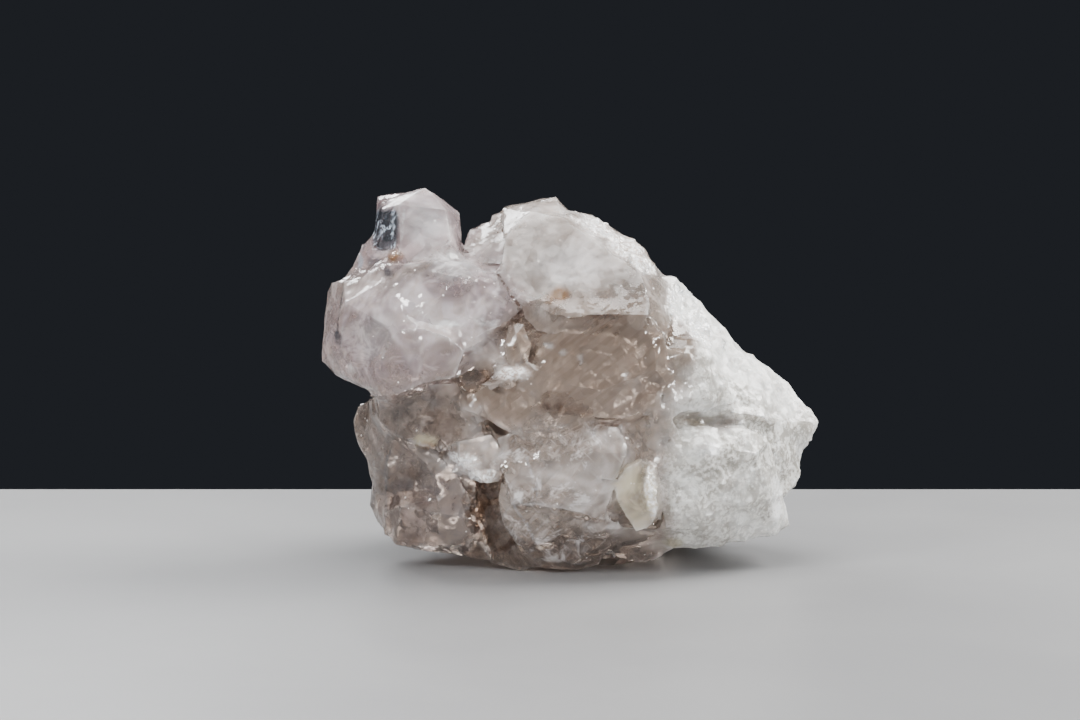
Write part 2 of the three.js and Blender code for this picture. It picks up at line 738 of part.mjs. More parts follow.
// Thin flakes that lie along a seam, each a little askew.
function flakes({ from, to, facing, count, scatter }) {
  const start = placeOf(from);
  const end = placeOf(to);
  const along = end.clone().sub(start).normalize();
  const across = vector(facing).cross(along).normalize();
  const outward = along.clone().cross(across);
  const basis = new THREE.Matrix4().makeBasis(along, across, outward);
  const lie = new THREE.Quaternion().setFromRotationMatrix(basis);
  return Array.from({ length: count }, (_, i) => {
    const spot = start.clone().lerp(end, (i + random()) / count);
    spot.addScaledVector(across, scatter * (random() - 0.5));
    const rock = FLAKE.askew * (random() - 0.5);
    const roll = FLAKE.askew * (random() - 0.5);
    const askew = new THREE.Euler(rock, roll, 3 * random());
    const size = 0.6 + 0.7 * random();
    const corners = [0, 1, 2, 3, 4, 5, 6].map((corner) => {
      const angle = (corner + 0.7 * random()) * (360 / 7) * DEGREE;
      const lift = corner % 2 ? FLAKE.thickness : -FLAKE.thickness;
      return new THREE.Vector3(FLAKE.length * Math.cos(angle), FLAKE.width * Math.sin(angle), lift);
    });
    return hull(
      corners.map((corner) => corner.multiplyScalar(size).applyEuler(askew).applyQuaternion(lie).add(spot)),
    );
  });
}

function union(solids) {
  return solids.reduce((joined, solid) => joined.add(solid));
}

function meshOf(solid) {
  const { vertProperties, triVerts } = solid.getMesh();
  const geometry = new THREE.BufferGeometry();
  geometry.setAttribute("position", new THREE.BufferAttribute(new Float32Array(vertProperties), 3));
  geometry.setIndex(new THREE.BufferAttribute(new Uint32Array(triVerts), 1));
  return new THREE.Mesh(geometry, SMOKY_QUARTZ);
}

const fronts = Object.values(BLOCKS).filter(({ webbed = true }) => webbed);
const webs = fronts.flatMap((one, i) => fronts.slice(i + 1).flatMap((other) => web(one, other)));

const grown = union([
  ...Object.values(BLOCKS).map(block),
  ...webs,
  ...Object.values(POINTS).map(point),
  ...Object.values(SEAMS).flatMap(flakes),
]);
const broken = union([
  hull([...WINDOW_RIM, ...WINDOW_FLOOR].map(vector)),
  ...Object.values(BREAKS).map(shellBreak),
]);
const standing = grown.subtract(broken).trimByPlane([0, 0, 1], 0);

// Pockets closed in between the crystals are left full.
const [cluster] = standing.decompose().sort((one, other) => other.volume() - one.volume());

const { min, max } = cluster.boundingBox();
const quartz = meshOf(cluster);
quartz.name = "quartz";
quartz.position.set(-(min[0] + max[0]) / 2, -(min[1] + max[1]) / 2, 0);

const specimen = new THREE.Group();
specimen.name = "smoky_quartz_cluster";
specimen.add(quartz);

export default specimen;
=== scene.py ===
import math

import bpy
import numpy as np
from mathutils import Euler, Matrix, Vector


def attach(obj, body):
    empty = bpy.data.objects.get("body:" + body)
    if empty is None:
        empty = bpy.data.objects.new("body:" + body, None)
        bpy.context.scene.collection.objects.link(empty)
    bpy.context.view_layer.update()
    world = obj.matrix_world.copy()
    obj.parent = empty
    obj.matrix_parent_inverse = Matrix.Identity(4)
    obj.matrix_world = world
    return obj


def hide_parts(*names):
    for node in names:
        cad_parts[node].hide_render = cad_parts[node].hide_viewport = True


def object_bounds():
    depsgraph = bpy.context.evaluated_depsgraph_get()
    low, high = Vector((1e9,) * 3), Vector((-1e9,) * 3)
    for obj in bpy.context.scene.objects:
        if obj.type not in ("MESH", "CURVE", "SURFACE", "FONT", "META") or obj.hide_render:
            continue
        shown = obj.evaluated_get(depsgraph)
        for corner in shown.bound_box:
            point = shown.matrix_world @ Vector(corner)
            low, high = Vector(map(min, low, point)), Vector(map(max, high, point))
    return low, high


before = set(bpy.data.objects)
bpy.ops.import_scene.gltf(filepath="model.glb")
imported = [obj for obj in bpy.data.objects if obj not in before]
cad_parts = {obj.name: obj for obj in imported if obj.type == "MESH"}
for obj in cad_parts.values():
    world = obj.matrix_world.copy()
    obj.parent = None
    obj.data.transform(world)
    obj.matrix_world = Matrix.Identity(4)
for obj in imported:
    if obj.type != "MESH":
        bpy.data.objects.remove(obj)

cad_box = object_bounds()

MM = 0.001
CELLS = 0.605  # sets how fine the even mesh is
SHARP_ANGLE = math.radians(13)
LEANING = np.array(Euler((0.5, 0.4, 0.3)).to_matrix())  # turns the facets out of the axes


def srgb(r, g, b):
    def one(c):
        c = c / 255
        return c / 12.92 if c <= 0.04045 else ((c + 0.055) / 1.055) ** 2.4

    return tuple(one(c) for c in (r, g, b))


# ---------------------------------------------------------------- noise, in mm

def hashed(ix, iy, iz, seed):
    """A number from 0 to 1 for each lattice point."""
    n = (ix * 73856093) ^ (iy * 19349663) ^ (iz * 83492791) ^ (seed * 2654435761)
    n = (n ^ (n >> 13)) * 1274126177
    n = n & 0x7FFFFFFF
    n = (n ^ (n >> 15)) * 2246822519 & 0x7FFFFFFF
    return (n % 1000003) / 1000003.0


def value_noise(p, size, seed):
    """Smooth noise from -1 to 1 with lumps about size mm across."""
    q = p / size
    base = np.floor(q).astype(np.int64)
    f = q - base
    f = f * f * f * (f * (f * 6 - 15) + 10)
    total = np.zeros(len(p))
    for dx in (0, 1):
        for dy in (0, 1):
            for dz in (0, 1):
                w = (
                    (f[:, 0] if dx else 1 - f[:, 0])
                    * (f[:, 1] if dy else 1 - f[:, 1])
                    * (f[:, 2] if dz else 1 - f[:, 2])
                )
                total += w * hashed(base[:, 0] + dx, base[:, 1] + dy, base[:, 2] + dz, seed)
    return total * 2 - 1


def layered_noise(p, size, seed, layers=3):
    total = np.zeros(len(p))
    weight = 1.0
    for k in range(layers):
        total += weight * value_noise(p, size / 2**k, seed + k)
        weight *= 0.5
    return total / (2 - 0.5 ** (layers - 1))


def chips(p, size, seed):
    """Height of a surface broken into tilted flat chips, from -1 to 1, each about size mm across."""
    q = p / size
    base = np.floor(q).astype(np.int64)
    nearest = np.full(len(p), 1e9)
    height = np.zeros(len(p))
    for dx in (-1, 0, 1):
        for dy in (-1, 0, 1):
            for dz in (-1, 0, 1):
                cell = base + (dx, dy, dz)
                own = [hashed(cell[:, 0], cell[:, 1], cell[:, 2], seed + k) for k in range(7)]
                middle = cell + np.stack(own[:3], 1)
                away = q - middle
                distance = (away**2).sum(1)
                tilt = np.stack(own[3:6], 1) - 0.5
                level = (away * tilt).sum(1) * 1.6 + (own[6] - 0.5)
                closer = distance < nearest
                nearest[closer] = distance[closer]
                height[closer] = level[closer]
    return height


def facets(p, size, seed):
    """Flat facets about size mm across that meet in crisp folds, from -1 to 1."""
    q = p @ LEANING / size
    base = np.floor(q).astype(np.int64)
    f = q - base
    order = np.argsort(-f, axis=1)
    rows = np.arange(len(p))
    corner = base.copy()
    before = np.ones(len(p))
    total = np.zeros(len(p))
    for k in range(4):
        after = f[rows, order[:, k]] if k < 3 else np.zeros(len(p))
        total += (before - after) * hashed(corner[:, 0], corner[:, 1], corner[:, 2], seed)
        if k < 3:
            corner[rows, order[:, k]] += 1
        before = after
    return total * 2 - 1


def scoops(p, size, seed):
    """Shell-like hollows about size mm across that meet in sharp ridges, from -1 to 1."""
    q = p / size
    base = np.floor(q).astype(np.int64)
    lowest = np.full(len(p), 1e9)
    for dx in (-1, 0, 1):
        for dy in (-1, 0, 1):
            for dz in (-1, 0, 1):
                cell = base + (dx, dy, dz)
                own = [hashed(cell[:, 0], cell[:, 1], cell[:, 2], seed + k) for k in range(4)]
                away = q - cell - np.stack(own[:3], 1)
                lowest = np.minimum(lowest, (away**2).sum(1) + 0.4 * own[3])
    return np.clip(lowest, 0, 1) * 2 - 1


# ---------------------------------------------------------------- the fine mesh

def even_mesh(node):
    """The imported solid's surface again, in small even facets, its edges kept sharp."""
    block = bpy.data.objects.new("block", node.data.copy())
    bpy.context.scene.collection.objects.link(block)
    remesh = block.modifiers.new("even", "REMESH")
    remesh.mode = "SHARP"
    remesh.octree_depth = 8
    remesh.scale = CELLS
    remesh.use_remove_disconnected = False
    solid = block.evaluated_get(bpy.context.evaluated_depsgraph_get())
    mesh = solid.to_mesh()
    mesh.calc_loop_triangles()
    points = np.empty(len(mesh.vertices) * 3)
    mesh.vertices.foreach_get("co", points)
    triangles = np.empty(len(mesh.loop_triangles) * 3, dtype=np.int64)
    mesh.loop_triangles.foreach_get("vertices", triangles)
    solid.to_mesh_clear()
    bpy.data.objects.remove(block)
    return points.reshape(-1, 3) / MM, triangles.reshape(-1, 3)


def normals_of(points, triangles):
    a, b, c = (points[triangles[:, k]] for k in range(3))
    cross = np.cross(b - a, c - a)
    total = np.zeros_like(points)
    for k in range(3):
        for axis in range(3):
            total[:, axis] += np.bincount(triangles[:, k], cross[:, axis], len(points))
    return total / np.maximum(np.linalg.norm(total, axis=1), 1e-12)[:, None]


def smoothed(points, triangles, rounds):
    ends = np.vstack([triangles[:, [0, 1]], triangles[:, [1, 2]], triangles[:, [2, 0]]])
    count = np.bincount(ends.ravel(), minlength=len(points))
    for _ in range(rounds):
        total = np.zeros_like(points)
        for axis in range(3):
            total[:, axis] += np.bincount(ends[:, 0], points[ends[:, 1], axis], len(points))
            total[:, axis] += np.bincount(ends[:, 1], points[ends[:, 0], axis], len(points))
        points = points * 0.4 + 0.6 * total / count[:, None]
    return points


def ramp(x, low, high):
    t = np.clip((x - low) / (high - low), 0, 1)
    return t * t * (3 - 2 * t)


# ---------------------------------------------------------------- regions, in mm in the row frame

def blob(p, centre, radii, soft=0.3, power=2):
    """1 inside an ellipsoid, 0 outside, with a soft edge. A higher power makes it boxier."""
    d = (np.abs((p - centre) / radii) ** power).sum(1) ** (1 / power)
    return 1 - ramp(d, 1 - soft, 1 + soft)


REGIONS = {
    # name: list of (centre, radii)
    "flaky": [
        ((4, -6, 61), (4.5, 7, 2.6)),
        ((9, -8, 57.5), (4.5, 8, 3.2)),
        ((12, -10, 54.5), (3, 7, 2.5)),
        ((18.5, -12, 48), (2.2, 6, 4.5)),
        ((23, -11, 43.5), (2.6, 7, 3.5)),
        ((-10.5, -24, 36.6), (3.4, 4, 1.3)),
        # the silvery edge of the shard: white flakes, partly a painted highlight
        ((-19.5, -24, 20.8), (3.2, 4, 1.5)),
        ((-16, -25, 18), (3.0, 4, 1.4)),
        ((14, -28, 16), (1.1, 4, 5)),
    ],
    "smoky": [
        ((5, -22, 38), (15, 12, 11.5)),
        ((-8, -18, 41), (6, 9, 8)),
        ((-13, -18, 34), (8, 9, 5)),
        ((-8, -22, 31), (8, 7, 5)),
        ((18.5, -19, 41), (3.2, 6, 5)),
        ((3, -22, 29.5), (13, 7, 3.5)),
    ],
    # brown of the heart and creases, partly the stone's own, partly painted shade in the recessed
    # heart and under the smoky crystal
    "brown": [
        ((-15.5, -17, 13), (4.0, 8, 6.5)),
        ((-13, -17, 6), (4.5, 8, 3)),
        ((-2, -25, 31.2), (5, 5, 1.3)),
        ((-14, -22, 35.5), (5, 5, 1.5)),
        ((-10, -18, 42), (1.6, 6, 5)),
    ],
    # painted shade: the lower left block, the low band along the foot and the band under the root's
    # ledge are darkened
    "dim": [
        ((-27, -8, 26), (14, 22, 7.5)),
        ((-27, -8, 11), (14, 22, 12)),
        ((-6, -16, 4), (24, 16, 5)),
        ((23, -18, 27.6), (8, 6, 1.4)),
    ],
    "veiled": [
        ((-2, -24, 19), (11, 8, 10)),
        ((-3, -22, 8), (11, 8, 6)),
        ((6, -24, 23), (5, 6, 6)),
    ],
    "frosted": [
        ((-2, -14, 56), (15, 16, 8)),
        ((-27, -10, 62), (6, 14, 6)),
        ((24, -4, 42), (12, 16, 12)),
        ((38, 0, 33), (10, 16, 8)),
    ],
    "lilac": [
        ((-30, -8, 42), (17, 24, 11)),
        ((-20, -12, 48), (13, 18, 9)),
        ((-30, 0, 60), (13, 18, 13)),
        ((-12, -10, 50), (5, 10, 7)),
        ((-24, -12, 12), (9, 12, 8)),
    ],
}
CLOUD = (236, 233, 234)
FROST = (250, 250, 250)
BROWN = (98, 72, 54)
RUST = (160, 112, 60)
CREAM = (226, 216, 184)
SLATE = (84, 90, 98)
BLUE_WHITE = (214, 226, 240)
OLIVE = (168, 160, 122)
# stains, with painted glints, painted highlights and painted shade among them
STAINS_AND_PAINTED_LIGHT = {
    # name: (colour, amount, centre, radii)
    "tower_cloud": (CLOUD, 0.8, (-26.5, -12, 62), (3.6, 6, 4)),
    "dome_cloud": (CLOUD, 0.9, (-20.8, -17, 55), (3.8, 6, 3.6)),
    "left_point_cloud": (CLOUD, 0.7, (-33, -16, 42), (5, 6, 5)),
    "top_face_cloud": (CLOUD, 0.5, (-1, -20, 55), (6, 6, 4)),
    "tower_foot_shadow": (SLATE, 0.9, (-35.7, -10.6, 55.4), (1.3, 3, 0.9)),
    # painted shade: a dark see-through patch
    "tower_foot_painted_shade": (SLATE, 0.8, (-32.6, -15, 54), (0.9, 3, 1.0)),
    "tower_foot_glint": (BLUE_WHITE, 1.0, (-38.3, -7, 55), (0.8, 3, 1.3)),
    "window_rust": (RUST, 1.0, (-31.6, -12.8, 56.6), (1.5, 5, 0.9)),
    # painted shade: a dark see-through patch
    "left_point_painted_shade": (SLATE, 0.9, (-41.9, -15, 41.8), (0.8, 3, 1.2)),
    "left_point_low_glint": (FROST, 0.7, (-39.6, -16, 36.2), (1.1, 3, 0.9)),
    # painted glint and painted highlight along the glassy ridges
    "ridge_left_glint": (FROST, 0.9, (-21.5, -22.3, 45.2), (2.4, 3, 0.5)),
    "ridge_right_glint": (FROST, 0.7, (-15.5, -23, 45.4), (2.6, 3, 0.5)),
    "top_face_rust": (RUST, 1.0, (-2.3, -22.6, 50.2), (1.7, 5, 1.4)),
    "top_face_rust_trail": (RUST, 0.8, (-3.6, -22.6, 49.4), (2.0, 5, 0.8)),
    "smoky_glint_left": (FROST, 0.9, (-4.4, -25.4, 41.2), (0.8, 3, 0.5)),
    "smoky_glint_middle": (FROST, 0.8, (-1.8, -25.6, 40.4), (0.8, 3, 0.5)),
    "smoky_glint_right": (FROST, 0.9, (1.2, -25.6, 39.2), (0.4, 3, 0.8)),
    # brown band of the crease under the smoky crystal, partly painted shadow under its lower edge
    "under_smoky_left": (BROWN, 0.5, (-3, -26, 32.9), (2.4, 4, 0.8)),
    "under_smoky_middle": (BROWN, 0.5, (1.2, -26.4, 30.3), (2.4, 4, 0.8)),
    "under_smoky_rust": (RUST, 0.3, (2.4, -26.2, 29.8), (1.2, 4, 0.5)),
    "under_smoky_right": (BROWN, 0.6, (6.5, -25.5, 27.6), (2.6, 4, 0.9)),
    "shelf_shadow": (SLATE, 0.5, (-24.1, -21, 30.9), (1.6, 4, 1.2)),
    "shelf_cream": (CREAM, 0.95, (-26.1, -21, 24.3), (2.2, 3, 0.9)),
    "shelf_rust": (RUST, 0.6, (-25.4, -21, 23.4), (1.6, 3, 0.5)),
    "left_block_brown": (BROWN, 0.5, (-28, -17.6, 18.1), (1.8, 3, 1.6)),
    "plate_cream": (CREAM, 0.75, (11, -28, 15), (3.8, 3.5, 6.5)),
    "plate_brown": (BROWN, 0.35, (11.1, -28.3, 15.1), (1.3, 3, 0.8)),
    "foot_brown": (BROWN, 0.6, (3.1, -21.3, 3.6), (1.1, 3, 0.7)),
    "foot_olive": (OLIVE, 0.6, (18, -21.3, 5.8), (1.8, 3, 1.0)),
    "ledge_olive": (OLIVE, 0.25, (22, -21, 27.8), (6, 4, 0.9)),
    "root_ledge_bright": (FROST, 0.95, (24.3, -23, 23.3), (2.2, 3, 1.2)),
    # painted highlight along the root's right edge
    "root_edge_painted_highlight": (FROST, 0.8, (36.5, -14, 12), (1.5, 4, 5)),
    "veil_cloud": (CLOUD, 0.8, (-4.9, -28, 13.7), (5.4, 3, 0.5)),
}
ROOT_EDGE = (13.5, 19.5)  # across this span of x the body turns into the milky root
WINDOW = ((-33.2, -7, 60.8), (2.8, 6, 3.8))  # the tower's sunken window: centre and reach


def region(p, name):
    return np.max([blob(p, c, r) for c, r in REGIONS[name]], axis=0)


def painted(where):
    """The colour and the strength of the stains, painted glints and painted shade at each point."""
    paint = np.zeros((len(where), 4))
    for colour, amount, centre, radii in STAINS_AND_PAINTED_LIGHT.values():
        share = (amount * blob(where, centre, radii, 0.4))[:, None]
        paint[:, :3] = paint[:, :3] * (1 - share) + np.array(srgb(*colour)) * share
        paint[:, 3:] = paint[:, 3:] * (1 - share) + share
    paint[:, :3] /= np.maximum(paint[:, 3:], 1e-6)
    return paint


def ridges(points, triangles):
    """How sharply the surface folds outwards at each point, from 0 to 1."""
    a, b, c = (points[triangles[:, k]] for k in range(3))
    normal = np.cross(b - a, c - a)
    normal /= np.maximum(np.linalg.norm(normal, axis=1), 1e-12)[:, None]
    centre = (a + b + c) / 3
    ends = np.vstack([triangles[:, [0, 1]], triangles[:, [1, 2]], triangles[:, [2, 0]]])
    face = np.tile(np.arange(len(triangles)), 3)
    key = np.sort(ends, 1)
    order = np.lexsort((key[:, 1], key[:, 0]))
    key, face = key[order], face[order]
    same = (key[1:] == key[:-1]).all(1)
    one, other, edge = face[:-1][same], face[1:][same], key[:-1][same]
    bend = 1 - (normal[one] * normal[other]).sum(1)
    outward = ((centre[other] - centre[one]) * normal[one]).sum(1) <= 0
    strength = ramp(bend, 0.04, 0.3) * outward
    fold = np.zeros(len(points))
    np.maximum.at(fold, edge[:, 0], strength)
    np.maximum.at(fold, edge[:, 1], strength)
    return fold


def filled(points, triangles, rounds, amount):
    """Grows crystal into the clefts: only ever moves the surface outwards."""
    for _ in range(rounds):
        normals = normals_of(points, triangles)
        step = ((smoothed(points, triangles, 1) - points) * normals).sum(1)
        points = points + normals * (amount * np.maximum(step, 0))[:, None]
    return points


RELIEF = {
    # how high each form of relief stands in each kind of quartz, in mm
    "clear": {"large": 0.5, "middle": 0.22, "small": 0.07, "terraces": 0.14},
    "milky": {"large": 0.5, "middle": 0.3, "small": 0.24, "small_shells": 0.3},
    "veiled": {"large": 0.6, "middle": 0.45, "small": 0.2, "small_shells": 0.12},
    "flaky": {"middle": 0.3, "splinter": 0.36, "fine": 0.2},
    "not_flaky": {"shells": 0.2},
}
FILL_ROUNDS = 12  # how often the clefts are grown over a little
FROSTED_CALM = 0.5  # how much lower the relief is on frosted faces
WINDOW_CALM = 0.85  # how much lower it is in the tower's window


def sculpt():
    """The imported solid, its flat faces kept, with the fine relief of the real crystal on them."""
    points, triangles = even_mesh(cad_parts["quartz"])
    low, high = (np.array(corner) / MM for corner in cad_box)
    masks = {"ridge": ridges(points, triangles)}
    window = blob(points, *WINDOW, soft=0.12, power=5)
    points = filled(points, triangles, FILL_ROUNDS, 1 - window)

    warp = np.stack([layered_noise(points, 9, s) for s in (11, 21, 31)], 1) * 2.2
    fine_warp = np.stack([layered_noise(points, 2.5, s) for s in (12, 22, 32)], 1) * 0.7
    where = points + warp + fine_warp
    for name in REGIONS:
        masks[name] = region(where, name)
    masks["window"] = window
    masks["milky"] = ramp(where[:, 0], *ROOT_EDGE) * (1 - masks["smoky"]) * (1 - 0.7 * masks["dim"])
    masks["flaky"] = region(points + 0.5 * warp + fine_warp, "flaky")
    paint = painted(points + 0.25 * warp + 0.8 * fine_warp)

    normals = normals_of(smoothed(points, triangles, 2), triangles)
    milky, flaky, veiled = masks["milky"], masks["flaky"], masks["veiled"]
    clear = np.clip(1 - milky - flaky - 0.6 * veiled, 0, 1)

    large = facets(points + warp, 7.5, 41)
    middle = facets(points + warp, 3.6, 42)
    small = facets(points + fine_warp, 1.9, 43)
    steps = layered_noise(points * (1, 1, 2.2), 12, 7)
    terraces = np.floor(steps * 6) / 6
    shells = scoops(points + warp * 0.5, 7.5, 40)
    small_shells = scoops(points * (1, 1, 1.3) + warp * 0.5, 3.0, 45)
    splinter = chips(points * (1, 1, 1.4) + warp * 0.5, 2.1, 50)
    fine = chips(points, 1.4, 60)

    relief = {
        "large": large,
        "middle": middle,
        "small": small,
        "terraces": terraces,
        "small_shells": small_shells,
        "splinter": splinter,
        "fine": fine,
        "shells": shells,
    }
    kinds = {"clear": clear, "milky": milky, "veiled": veiled, "flaky": flaky, "not_flaky": 1 - flaky}
    height = np.zeros(len(points))
    for kind, share in kinds.items():
        height += share * sum(amount * relief[name] for name, amount in RELIEF[kind].items())
    height *= 1 - FROSTED_CALM * masks["frosted"] * clear
    height *= 1 - WINDOW_CALM * window
    standing = ramp(points[:, 2], 0.02, 1.2)  # what it rests on stays flat
    points = points + normals * (height * standing)[:, None]
    points = np.clip(points, low, high)

    wide = smoothed(points, triangles, 30)
    fresh = normals_of(points, triangles)
    masks["crevice"] = np.clip(((wide - points) * fresh).sum(1) / 0.9, 0, 1)
    return points, triangles, masks, paint


def make_quartz():
    points, triangles, masks, paint = sculpt()
    mesh = bpy.data.meshes.new("quartz_cluster")
    mesh.from_pydata((points * MM).tolist(), [], triangles.tolist())
    for name, values in masks.items():
        layer = mesh.attributes.new(name, "FLOAT", "POINT")
        layer.data.foreach_set("value", values.astype(np.float32))
    layer = mesh.attributes.new("paint", "FLOAT_COLOR", "POINT")
    layer.data.foreach_set("color", paint.astype(np.float32).ravel())
    mesh.polygons.foreach_set("use_smooth", np.ones(len(triangles), bool))
    mesh.set_sharp_from_angle(angle=SHARP_ANGLE)
    mesh.update()
    piece = bpy.data.objects.new("quartz_cluster", mesh)
    bpy.context.scene.collection.objects.link(piece)
    print("quartz triangles", len(triangles), "size", points.max(0) - points.min(0))
    return piece


# ---------------------------------------------------------------- material helpers

def is_socket(value):
    return isinstance(value, bpy.types.NodeSocket)


class Graph:
    """Short calls for building a node tree."""

    def __init__(self, name):
        self.material = bpy.data.materials.new(name)
        self.material.use_nodes = True
        self.tree = self.material.node_tree
        self.tree.nodes.clear()
        self.where = self.node("ShaderNodeTexCoord").outputs["Object"]

    def node(self, kind, **settings):
        n = self.tree.nodes.new(kind)
        for key, value in settings.items():
            setattr(n, key, value)
        return n

    def feed(self, socket, value):
        if is_socket(value):
            self.tree.links.new(value, socket)
        else:
            socket.default_value = value

    def math(self, operation, a, b=0.0, clamp=False):
        n = self.node("ShaderNodeMath", operation=operation, use_clamp=clamp)
        self.feed(n.inputs[0], a)
        self.feed(n.inputs[1], b)
        return n.outputs[0]

    def times(self, *values):
        total = values[0]
        for value in values[1:]:
            total = self.math("MULTIPLY", total, value)
        return total

    def highest(self, *values):
        total = values[0]
        for value in values[1:]:
            total = self.math("MAXIMUM", total, value)
        return total

    def vector(self, operation, a, b=None, scale=None, out=0):
        n = self.node("ShaderNodeVectorMath", operation=operation)
        self.feed(n.inputs[0], a)
        if b is not None:
            self.feed(n.inputs[1], b)
        if scale is not None:
            self.feed(n.inputs["Scale"], scale)
        return n.outputs[out]

    def mix(self, factor, a, b):
        n = self.node("ShaderNodeMix", data_type="RGBA")
        self.feed(n.inputs[0], factor)
        self.feed(n.inputs[6], a if is_socket(a) else (*a, 1))
        self.feed(n.inputs[7], b if is_socket(b) else (*b, 1))
        return n.outputs[2]

    def blend(self, factor, a, b):
        n = self.node("ShaderNodeMix", data_type="FLOAT")
        self.feed(n.inputs[0], factor)
        self.feed(n.inputs[2], a)
        self.feed(n.inputs[3], b)
        return n.outputs[0]

    def span(self, value, low, high, to_low=0.0, to_high=1.0):
        n = self.node("ShaderNodeMapRange", interpolation_type="SMOOTHSTEP")
        for k, v in enumerate((value, low, high, to_low, to_high)):
            self.feed(n.inputs[k], v)
        return n.outputs[0]

    def attribute(self, name):
        return self.node("ShaderNodeAttribute", attribute_name=name).outputs["Fac"]

    def stretched(self, x=1.0, y=1.0, z=1.0, turn=(0, 0, 0)):
        """The place, turned and then squeezed, so that a texture lies in long grains."""
        n = self.node("ShaderNodeMapping", vector_type="TEXTURE")
        self.feed(n.inputs["Vector"], self.where)
        n.inputs["Rotation"].default_value = [math.radians(a) for a in turn]
        n.inputs["Scale"].default_value = (1 / x, 1 / y, 1 / z)
        return n.outputs[0]

    def noise(self, size_mm, detail=3.0, rough=0.5, distortion=0.0, where=None, out="Fac"):
        n = self.node("ShaderNodeTexNoise")
        self.feed(n.inputs["Vector"], where or self.where)
        n.inputs["Scale"].default_value = 1000 / size_mm
        n.inputs["Detail"].default_value = detail
        n.inputs["Roughness"].default_value = rough
        n.inputs["Distortion"].default_value = distortion
        return n.outputs[out]

    def cells(self, size_mm, feature="F1", where=None):
        n = self.node("ShaderNodeTexVoronoi", feature=feature)
        self.feed(n.inputs["Vector"], where or self.where)
        n.inputs["Scale"].default_value = 1000 / size_mm
        return n.outputs["Distance"]

    def wavy(self, size_mm, reach_mm, detail):
        """The place, shifted about by noise, for marks with uneven outlines."""
        shift = self.vector("SUBTRACT", self.noise(size_mm, detail, 0.6, out="Color"), (0.5, 0.5, 0.5))
        return self.vector("ADD", self.where, self.vector("SCALE", shift, scale=2 * reach_mm * MM))

    def line(self, where, start, end, width):
        """1 on a straight line given in mm by its ends as seen from the front (x, z)."""
        flat = self.vector("MULTIPLY", where, (1, 0, 1))
        a = Vector((start[0], 0, start[1])) * MM
        b = Vector((end[0], 0, end[1])) * MM
        along = b - a
        away = self.vector("SUBTRACT", flat, tuple(a))
        share = self.vector("DOT_PRODUCT", away, tuple(along / along.length_squared), out=1)
        share = self.math("ADD", share, 0.0, clamp=True)
        nearest = self.vector("SCALE", tuple(along), scale=share)
        gap = self.vector("LENGTH", self.vector("SUBTRACT", away, nearest), out=1)
        return self.span(gap, 0.3 * width * MM, width * MM, 1.0, 0.0)

    def finish(self, surface, volume=None):
        out = self.node("ShaderNodeOutputMaterial")
        self.feed(out.inputs["Surface"], surface)
        if volume:
            self.feed(out.inputs["Volume"], volume)
        return self.material


LILAC = srgb(206, 188, 192)
GREY = srgb(196, 184, 175)
# colour of the painted shade
PAINTED_SHADE_TONE = srgb(112, 98, 91)
SMOKE = srgb(190, 172, 158)
MILK = srgb(240, 240, 237)
PEARL = srgb(180, 176, 167)


STREAKS = [
    # width in mm, turn, how rare
    (0.5, (0, 38, 0), 0.6),
    (0.4, (0, -44, 15), 0.62),
    (0.5, (10, 64, -15), 0.62),
]
QUARTZ_IOR = 1.54
CLEAREST = 0.78  # how much light the clearest quartz lets through
LEANS = ((6.0, 0.14), (2.4, 0.16))  # size of the faces in mm, how far they lean
HAIRLINES_AND_HIGHLIGHT = {
    # name: (ends as seen from the front (x, z), width, colour)
    # painted highlight: a bright line along the window's right edge
    "window_edge_highlight": ((-30.5, 59.2), (-30.1, 64.6), 0.4, FROST),
    "left_point_crack": ((-41.0, 50.2), (-42.0, 42.5), 0.3, SLATE),
    "seam_upper": ((-13.6, 54.0), (-9.3, 48.2), 0.4, BROWN),
    "seam_lower": ((-9.3, 48.2), (-9.8, 45.4), 0.4, BROWN),
    "lower_left_crack": ((-33.3, 20.5), (-33.7, 9.5), 0.35, SLATE),
    "veil_low": ((-10.5, 13.9), (-5.5, 5.0), 0.45, CLOUD),
    "veil_high": ((-8.0, 22.0), (-6.2, 15.5), 0.4, CLOUD),
}


def streaks_in(g, mottle):
    """Thin white streaks that cross at three slants, in patches."""
    lines = []
    for size, turn, low in STREAKS:
        dash = g.noise(size, 0, 0.5, 0.0, g.stretched(1, 0.06, 0.06, turn))
        lines.append(g.span(dash, low, low + 0.09))
    return g.times(g.highest(*lines), g.span(mottle, 0.44, 0.56))


def with_stains_and_painted_light(g, body, mottle):
    """The body with the stains, painted glints and painted shade laid over it."""
    paint = g.node("ShaderNodeAttribute", attribute_name="paint")
    paint_share = g.times(paint.outputs["Alpha"], g.span(mottle, 0.3, 0.55, 0.45, 1.0))
    return g.mix(paint_share, body, paint.outputs["Color"])


def cracked_and_highlighted(g, body, grain):
    """The body with the broken hairlines, and a painted highlight along the window's edge, laid over
    it.
    """
    rim = g.wavy(4.0, 0.45, 2)
    broken = g.span(grain, 0.4, 0.55, 0.15, 0.85)
    for start, end, width, colour in HAIRLINES_AND_HIGHLIGHT.values():
        body = g.mix(g.times(g.line(rim, start, end, width), broken), body, srgb(*colour))
    return body


def leaning_normal(g, flaky, milky):
    """The surface's normal over small faces that each lean their own way."""
    around = g.wavy(2.0, 0.15, 1)
    finest = (0.9, g.highest(0.08, g.times(flaky, 0.7), g.times(milky, 0.16)))
    facing = g.node("ShaderNodeNewGeometry").outputs["Normal"]
    for size, amount in (*LEANS, finest):
        cell = g.node("ShaderNodeTexVoronoi")
        g.feed(cell.inputs["Vector"], around)
        cell.inputs["Scale"].default_value = 1000 / size
        lean = g.vector("SUBTRACT", cell.outputs["Color"], (0.5, 0.5, 0.5))
        facing = g.vector("ADD", facing, g.vector("SCALE", lean, scale=amount))
    return g.vector("NORMALIZE", facing)


